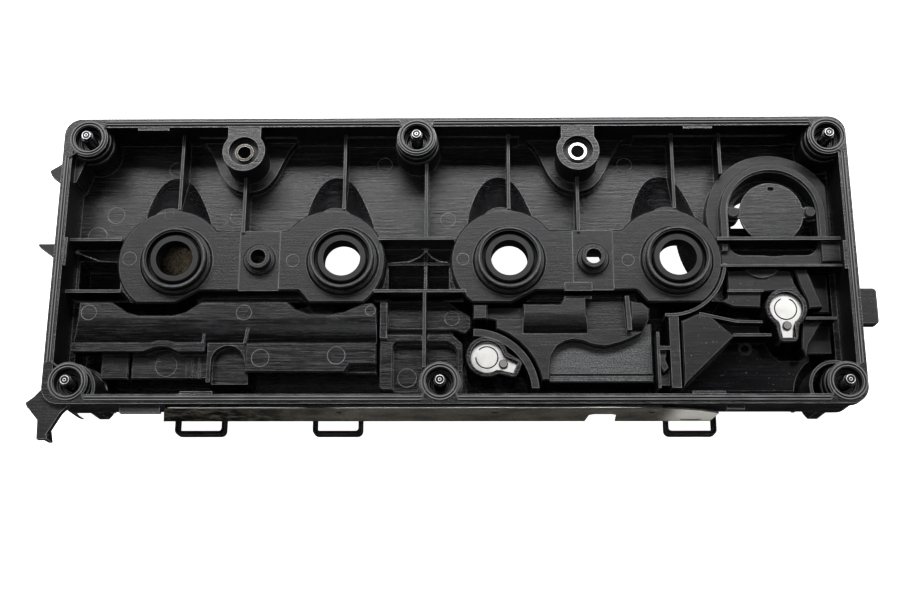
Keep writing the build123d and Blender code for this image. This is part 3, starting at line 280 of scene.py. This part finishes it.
def rubber(name, crest=None):
    """Moulded rubber, soft sheen; crest is the height in mm above which a lip gets a painted highlight; corners
    get a painted highlight too.
    """
    m = Mat(name, (0.010, 0.010, 0.011), 0.5)
    cloud = m.noise(90, 3, 0.6)
    tint = m.blend(m.ramp(cloud, (0.35, 0.0), (0.7, 1.0)), (0.007, 0.007, 0.008), (0.016, 0.016, 0.017))
    if crest is not None:
        # painted highlight along the lip crests above the crest height
        painted_highlight = m.math("MULTIPLY", m.step(m.place(2), crest, crest + 0.3), m.ramp(cloud, (0.3, 0.55), (0.7, 1.0)))
        tint = m.blend(painted_highlight, tint, (0.24, 0.24, 0.245))
    # painted highlight on corners and edges
    edge_highlight = m.math("MULTIPLY", m.edges(0.0005), 0.55)
    m.bump(m.noise(1500, 3, 0.6), 0.15, 0.00005)
    return m.done(m.blend(edge_highlight, tint, (0.13, 0.13, 0.13)), m.ramp(cloud, (0.3, 0.38), (0.7, 0.58)))


def steel(name, color, rough, dirt=0.3, dirt_and_shade=(0.2, 0.18, 0.15), along=(900, 40, 900), painted_highlight=0.5, painted_shade_x=None):
    """Rolled or turned steel: fine drawn lines, cloudy grime, painted highlights on the corners, and painted shade
    on parts left of an x range when one is given.
    """
    m = Mat(name, color, rough, 1.0)
    lines = m.noise(1.0, 3, 0.6, m.stretched(*along))
    cloud = m.noise(70, 4, 0.65)
    tint = m.blend(m.ramp(cloud, (0.35, 0.0), (0.75, dirt)), color, dirt_and_shade)
    if painted_shade_x:
        # painted shade: parts left of the x range get the dark colour, so the left sleeve looks in shade and the
        # right one lit
        tint = m.blend(m.step(m.place(0), *painted_shade_x), dirt_and_shade, tint)
    # painted highlight: corners and edges blended towards near white
    tint = m.blend(m.math("MULTIPLY", m.edges(0.0004), painted_highlight), tint, (0.85, 0.85, 0.85))
    m.bump(lines, 0.12, 0.00005)
    r = m.math("ADD", m.ramp(cloud, (0.3, rough - 0.06), (0.8, rough + 0.14)), m.math("MULTIPLY", lines, 0.12))
    return m.done(tint, m.math("SUBTRACT", r, 0.05))


def scorched(name):
    """Sheet steel that has been hot: nearly black and blotched at one end, brown-grey along the middle."""
    m = Mat(name, (0.05, 0.048, 0.042), 0.7, 0.0, Specular_IOR_Level=0.12)
    blot = m.noise(170, 5, 0.75)
    fine = m.noise(1400, 3, 0.7)
    soot = m.blend(m.ramp(blot, (0.45, 0.0), (0.66, 1.0)), (0.006, 0.006, 0.005), (0.17, 0.16, 0.12))
    plain = m.blend(m.ramp(m.noise(60, 4, 0.6), (0.3, 0.0), (0.7, 1.0)), (0.08, 0.076, 0.062), (0.20, 0.19, 0.155))
    tint = m.blend(m.step(m.place(0), -110.0, -55.0), soot, plain)
    tint = m.blend(m.ramp(fine, (0.42, 0.6), (0.62, 0.0)), tint, (0.012, 0.012, 0.010))
    tint = m.blend(m.step(m.place(0), 104.0, 118.0), tint, (0.55, 0.54, 0.50))
    # painted highlight: corners and edges blended towards light grey
    tint = m.blend(m.math("MULTIPLY", m.edges(0.0004), 0.25), tint, (0.4, 0.4, 0.38))
    m.bump(fine, 0.35, 0.00012)
    m.bump(blot, 0.3, 0.0004)
    return m.done(tint, m.ramp(blot, (0.3, 0.6), (0.7, 0.85)))


def foam():
    """Open-cell foam: brown, with darker pores and paler broken cell walls."""
    m = Mat("brown_foam", (0.30, 0.24, 0.15), 0.9, Specular_IOR_Level=0.2)
    pore = m.ramp(m.cells(1300), (0.15, 0.0), (0.55, 1.0))
    cloud = m.noise(240, 4, 0.7)
    tint = m.blend(pore, (0.10, 0.08, 0.05), (0.62, 0.52, 0.36))
    tint = m.blend(m.ramp(cloud, (0.46, 0.0), (0.62, 0.8)), tint, (0.85, 0.76, 0.58))
    m.bump(pore, 0.8, 0.0004)
    return m.done(tint)


def floor_material():
    """Pale, evenly lit table top."""
    m = Mat("floor", (0.9, 0.9, 0.9), 0.7, Emission_Color=(1, 1, 1, 1), Emission_Strength=FLOOR_GLOW)
    return m.done(m.ramp(m.noise(3, 2, 0.5), (0.3, 0.89), (0.7, 0.91)))


# Dark and light ends of the nylon's colour, and the drawing direction of turned pieces
NYLON = (0.005, 0.005, 0.006), (0.011, 0.011, 0.012)
UPRIGHT = (900, 900, 60)
MATERIALS = {
    "shell": nylon("black_nylon", *NYLON, 0.38, slick=(-24.0, -15.0, 0.20, -0.6)),
    "satin": nylon("black_nylon_satin", *NYLON, 0.22, lines=0.3, grain=0.2),
    # the plate's low flat faces carry a painted sheen
    "plate": nylon("black_nylon_plate", *NYLON, 0.36, lines=0.3,
                   painted_sheen=(-20.6, (0.15, 0.155, 0.157))),
    "gloss": nylon("black_nylon_gloss", (0.002, 0.002, 0.003), (0.004, 0.004, 0.005), 0.36, lines=0.2, speck=0.9,
                   slick=(-27.0, -25.0, 0.10, 99.0), vary=0.12, grain=0.05),
    "rubber": rubber("black_rubber"),
    "lip": rubber("black_rubber_lip", crest=0.62),
    "foam": foam(),
    # light grey flash on black nylon: a painted glint
    "flash": nylon("thin_flash", (0.45, 0.45, 0.45), (0.70, 0.70, 0.70), 0.30, lines=0.1),
    "reed": steel("spring_steel", (0.54, 0.54, 0.53), 0.34, dirt=0.12, painted_highlight=0.0),
    "zinc": steel("zinc_steel", (0.20, 0.20, 0.20), 0.4, along=UPRIGHT, painted_highlight=0.3),
    "oxide": steel("black_oxide_steel", (0.035, 0.035, 0.037), 0.34, dirt=0.1, dirt_and_shade=(0.02, 0.02, 0.02),
                   along=UPRIGHT, painted_highlight=0.35),
    # light steel for the painted highlight rings on the bolt tips
    "tip": steel("tip_highlight_steel", (0.55, 0.55, 0.55), 0.35, dirt=0.2, along=UPRIGHT),
    # the x range gives the left stud sleeve painted shade
    "aluminium": steel("bright_aluminium", (0.60, 0.60, 0.60), 0.22, dirt=0.05, dirt_and_shade=(0.06, 0.056, 0.048),
                       along=UPRIGHT, painted_shade_x=(-20.0, 20.0)),
    "shield": scorched("scorched_steel"),
    # near-white steel: a painted highlight along the shield's upper edge
    "lip_highlight": steel("lip_highlight_steel", (0.92, 0.92, 0.90), 0.55, dirt=0.0, painted_highlight=0.0),
}
WEARS = {
    "cover_shell": "shell", "baffle_left": "satin", "baffle_center": "satin", "baffle_middle": "plate",
    "baffle_right": "gloss", "drain_tower_left": "satin", "drain_tower_right": "satin", "reed_left": "reed",
    "reed_right": "reed", "valve_rivets": "zinc", "profile_gasket": "lip", "injector_seals": "rubber",
    "clamp_bolt_seals": "rubber", "stud_sleeves": "aluminium", "bolt_sleeves": "oxide", "bolt_grommets": "rubber",
    "captive_bolts": "oxide", "well_foam": "foam", "filler_splash_plate": "satin", "heat_shield_rail": "shield",
    "regulator_cap": "shell", "regulator_diaphragm": "rubber", "regulator_spring": "zinc",
}
for node, key in WEARS.items():
    for s in NODES[node].material_slots:
        s.material = MATERIALS[key]


# ---------------------------------------------------------------- surfaces by formula
class Skin:
    """Collects grids of points, in millimetres, and puts them in as one mesh."""

    def __init__(self):
        self.points, self.faces, self.count = [], [], 0

    def grid(self, p, wrap_u=False, wrap_v=False):
        """p[i, j] are points. Cell i, j has the corners (i, j), (i+1, j), (i+1, j+1) and (i, j+1)."""
        n, m = p.shape[:2]
        i = np.arange(n if wrap_u else n - 1)[:, None]
        j = np.arange(m if wrap_v else m - 1)[None, :]
        a, b = i * m + j, (i + 1) % n * m + j
        c, d = (i + 1) % n * m + (j + 1) % m, i * m + (j + 1) % m
        self.faces.append(np.stack([a, b, c, d], axis=-1).reshape(-1, 4) + self.count)
        self.points.append(p.reshape(-1, 3))
        self.count += n * m

    def tube(self, line, radii, sides=6, wrap=False):
        """Round bar along line: the point at t, u is line(t) + radius(t) (cos u n1 + sin u n2)."""
        line = np.asarray(line, float)
        ahead = np.roll(line, -1, 0) - np.roll(line, 1, 0)
        if not wrap:
            ahead[0], ahead[-1] = line[1] - line[0], line[-1] - line[-2]
        ahead /= np.linalg.norm(ahead, axis=1)[:, None]
        across = np.cross(ahead, (0.13, 0.21, 0.97))
        across /= np.linalg.norm(across, axis=1)[:, None]
        upward = np.cross(across, ahead)
        u = np.linspace(0, 2 * math.pi, sides, endpoint=False)
        turn = np.cos(u)[None, :, None] * across[:, None] + np.sin(u)[None, :, None] * upward[:, None]
        r = np.broadcast_to(radii, len(line)).astype(float)
        p = line[:, None] + r[:, None, None] * turn
        self.grid(p, wrap_u=wrap, wrap_v=True)

    def piece(self, name, wear, body="cover"):
        mesh = bpy.data.meshes.new(name)
        co = np.concatenate(self.points) * MM
        faces = np.concatenate(self.faces)
        mesh.vertices.add(len(co))
        mesh.vertices.foreach_set("co", co.astype(np.float32).ravel())
        mesh.loops.add(faces.size)
        mesh.loops.foreach_set("vertex_index", faces.astype(np.int32).ravel())
        mesh.polygons.add(len(faces))
        mesh.polygons.foreach_set("loop_start", np.arange(0, faces.size, 4, dtype=np.int32))
        mesh.update(calc_edges=True)
        mesh.validate()
        mesh.shade_smooth()
        mesh.materials.append(MATERIALS[wear])
        obj = bpy.data.objects.new(name, mesh)
        bpy.context.scene.collection.objects.link(obj)
        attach(obj, body)
        return obj


def bead_ring(skin, x, y, z, r, width=0.34, height=0.07, steps=48):
    """Flat bead round a circle: (x + (r + w cos v) cos u, y + (r + w cos v) sin u, z + h sin v)."""
    u = np.linspace(0, 2 * math.pi, steps, endpoint=False)[:, None]
    v = np.linspace(0, 2 * math.pi, 8, endpoint=False)[None, :]
    rho = r + width / 2 * np.cos(v)
    p = np.stack([x + rho * np.cos(u), y + rho * np.sin(u), z + height * np.sin(v) + 0 * u], axis=-1)
    skin.grid(p, wrap_u=True, wrap_v=True)


def ejector_marks():
    """A thin witness ring where each ejector pin touched: a bead of radius r at each place."""
    skin = Skin()
    for x, y, z, r in EJECTORS:
        bead_ring(skin, x, y, z, r)
    x, y = SQUARE_MARK
    corners = [(-1, -1), (1, -1), (1, 1), (-1, 1)]
    outline = [(x + a * SQUARE_HALF, y + b * SQUARE_HALF, BRIDGE_Z) for a, b in corners]
    skin.tube(outline, 0.14, wrap=True)
    return skin.piece("ejector_marks", "shell")


def threads():
    """Thread on each bolt: a closed ridge at radius r + h fade(t), angle 2 pi t and height z0 + pitch t."""
    skin = Skin()
    turns, steps = (THREAD_TOP - THREAD_LOW) / PITCH, 24
    t = np.linspace(0, turns, int(turns * steps) + 1)
    fade = np.clip(np.minimum(t, turns - t) * 2, 0.02, 1)
    ridge = np.array([(-0.05, -0.46), (0.24, 0.0), (-0.05, 0.46), (-0.2, 0.0)])
    for x, y in BOLTS:
        r = SHANK_R + ridge[None, :, 0] * fade[:, None]
        a = 2 * math.pi * t[:, None]
        z = THREAD_LOW + PITCH * t[:, None] + PITCH * ridge[None, :, 1] * fade[:, None]
        skin.grid(np.stack([x + r * np.cos(a), y + r * np.sin(a), z], axis=-1), wrap_v=True)
    return skin.piece("bolt_threads", "oxide")


def bolt_tips():
    """Painted highlight rings on the tip of each bolt, in light steel: a rim and a smaller ring on its end, beads
    of radius r.
    """
    rim_drop, rim_inset, dot_drop, dot_r = 0.22, 0.25, 0.05, 0.75
    skin = Skin()
    for x, y in BOLTS:
        bead_ring(skin, x, y, TIP_Z - rim_drop, TIP_R - rim_inset, width=0.62, height=0.22)
        bead_ring(skin, x, y, TIP_Z - dot_drop, dot_r, width=0.5, height=0.09, steps=24)
    return skin.piece("bolt_tip_highlights", "tip")


def shield_edge():
    """Rolled upper edge of the heat shield: a bar along (x, y0, z0 + w(x)), where w is two sines and a hump, in
    near-white steel as a painted highlight.
    """
    skin = Skin()
    radius, inset, taper, drop, out = 0.5, 0.8, 2.0, 0.3, 0.15
    x = np.linspace(SHIELD_X[0] + inset, SHIELD_X[1] - inset, 240)
    w = 0.12 * np.sin(0.11 * x) + 0.1 * np.sin(0.043 * x + 1.0) + 0.35 * np.exp(-((x - 75.5) / 9.0) ** 2)
    line = np.stack([x, SHIELD_FACE_Y - out + 0 * x, SHIELD_TOP - drop + w], axis=-1)
    near_end = np.minimum(x - x[0], x[-1] - x) / taper
    skin.tube(line, radius * np.sqrt(np.clip(near_end, 0.02, 1)), sides=10)
    return skin.piece("shield_rolled_edge", "lip_highlight")


def gate_flash():
    """Thin flash left at the two gates: straight spikes whose radius falls to a point, and curved strands,
    coloured light grey as a painted glint.
    """
    spikes, smoothing = 9, 6
    skin = Skin()
    rng = np.random.default_rng(5)
    for x, y, z in GATES:
        for k in range(spikes):
            a, tilt = 2 * math.pi * k / spikes + rng.uniform(-0.2, 0.2), rng.uniform(0.0, 0.5)
            way = np.array([math.cos(a) * math.cos(tilt), math.sin(a) * math.cos(tilt), math.sin(tilt)])
            t = np.linspace(-0.3, rng.uniform(1.6, 2.9), 6)[:, None]
            skin.tube(np.array([x, y, z]) + way * t, np.linspace(0.34, 0.03, 6))
    for strand in STRANDS:
        p = np.array(strand, float)
        t = np.linspace(0, len(p) - 1, 40)
        line = np.stack([np.interp(t, np.arange(len(p)), p[:, k]) for k in range(3)], axis=-1)
        for _ in range(smoothing):
            line[1:-1] = (line[:-2] + 2 * line[1:-1] + line[2:]) / 4
        skin.tube(line, 0.12 + 0.3 * np.sin(np.linspace(0.2, math.pi - 0.2, 40)))
    return skin.piece("gate_flash", "flash")


def foam_pad():
    """Foam pad of half width w(x), closed round each cross-section, with pits where a sum of sines is low.

    The section at x is a superellipse, y = c + w cos v |cos v|^(-3/4) and z likewise; w(x) is the larger of
    the lobe's sqrt(R^2 - (x - x0)^2) and the bar's half width.
    """
    inset, waves, wave_number, pit_depth = 0.1, 26, 2.6, 0.5
    skin = Skin()
    n, m = 340, 260
    x = np.linspace(FOAM_X[0] + inset, FOAM_X[1] - inset, n)
    lobe = np.sqrt(np.clip(FOAM_LOBE_R ** 2 - (x - FOAM_LOBE_X) ** 2, 0, None))
    top = np.maximum(LOBE_Y + lobe, np.where(x > FOAM_LOBE_X, FOAM_BAR[1], -99))
    low = np.minimum(LOBE_Y - lobe, np.where(x > FOAM_LOBE_X, FOAM_BAR[0], 99))
    low = np.maximum(low, FOAM_LOW)
    mid, half = (top + low) / 2, (top - low) / 2 - 0.25
    v = np.linspace(0, 2 * math.pi, m, endpoint=False)
    cy, sz = np.cos(v), np.sin(v)
    cy, sz = np.sign(cy) * np.abs(cy) ** 0.5, np.sign(sz) * np.abs(sz) ** 0.12
    end = np.clip(np.minimum(x - x[0], x[-1] - x) / 0.8, 0, 1) ** 0.5
    y = mid[:, None] + half[:, None] * cy[None, :]
    z = REST_Z + FOAM_T / 2 + (FOAM_T / 2 - 0.15) * end[:, None] * sz[None, :]
    xx = np.broadcast_to(x[:, None], y.shape)
    rng = np.random.default_rng(11)
    pits = np.zeros_like(y)
    for _ in range(waves):
        k = rng.normal(0, wave_number, 2)
        pits += np.sin(k[0] * xx + k[1] * y + rng.uniform(0, 6.28))
    depth = pit_depth * np.clip(pits / 5.0, 0, 1) ** 1.3
    z = z - np.sign(sz)[None, :] * depth * (np.abs(sz) > 0.5)[None, :]
    skin.grid(np.stack([xx, y, z], axis=-1)[:, ::-1], wrap_v=True)
    pad = skin.piece("foam_pad", "foam")
    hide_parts("well_foam")
    return pad


# ---------------------------------------------------------------- stage
def make_floor():
    mesh = bpy.data.meshes.new("floor")
    h, z = FLOOR_HALF, REST_Z * MM
    mesh.from_pydata([(-h, -h, z), (h, -h, z), (h, h, z), (-h, h, z)], [], [(0, 1, 2, 3)])
    plane = bpy.data.objects.new("floor", mesh)
    mesh.materials.append(floor_material())
    bpy.context.scene.collection.objects.link(plane)
    plane.visible_glossy = False


def make_light():
    world = bpy.data.worlds.new("studio")
    bpy.context.scene.world = world
    world.use_nodes = True
    back = world.node_tree.nodes["Background"]
    back.inputs["Color"].default_value = (1, 1, 1, 1)
    back.inputs["Strength"].default_value = WORLD_STRENGTH
    for row in LIGHTS:
        area_light(*row)


bpy.context.scene.view_settings.view_transform = "Standard"
bpy.context.scene.view_settings.gamma = VIEW_GAMMA
make_camera()
make_floor()
make_light()
ejector_marks()
threads()
bolt_tips()
shield_edge()
gate_flash()
foam_pad()
